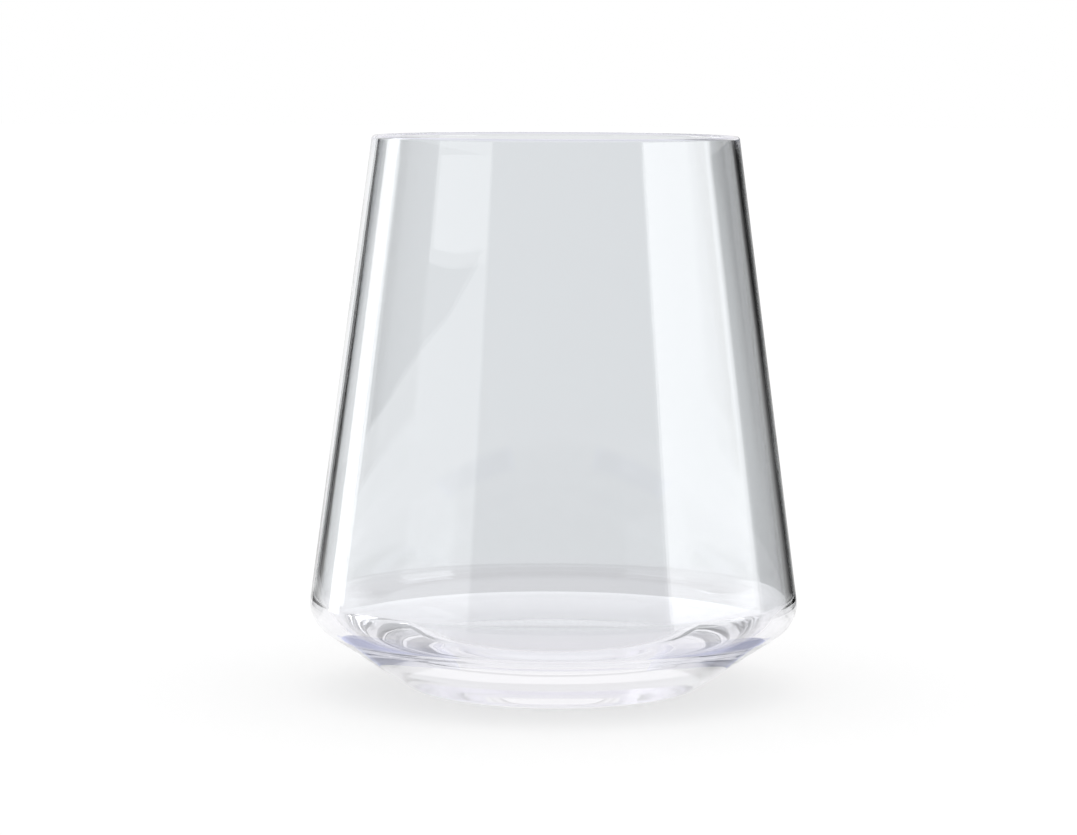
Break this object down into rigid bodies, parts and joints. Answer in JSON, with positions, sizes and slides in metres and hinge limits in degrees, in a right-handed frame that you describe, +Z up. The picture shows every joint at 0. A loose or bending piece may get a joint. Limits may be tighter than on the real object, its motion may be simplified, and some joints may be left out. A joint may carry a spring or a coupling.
{
  "type": "stemless wine glass",
  "caption": "Clear stemless wine glass with a straight conical wall narrowing to the rim, on a thick clear base that tapers to a flat foot ring.",
  "frame": {"origin": "centre of the foot ring, on the surface that the glass stands on", "axes": "+Z up along the axis of the glass, towards the rim; X and Y are level and alike"},
  "size_m": [0.0926, 0.0926, 0.105],
  "materials": {
    "clear_wall": "polished",
    "clear_base": "polished"
  },
  "bodies": {
    "root": {"bowl_wall": "clear_wall", "base_dish": "clear_base"}
  },
  "joints": []
}
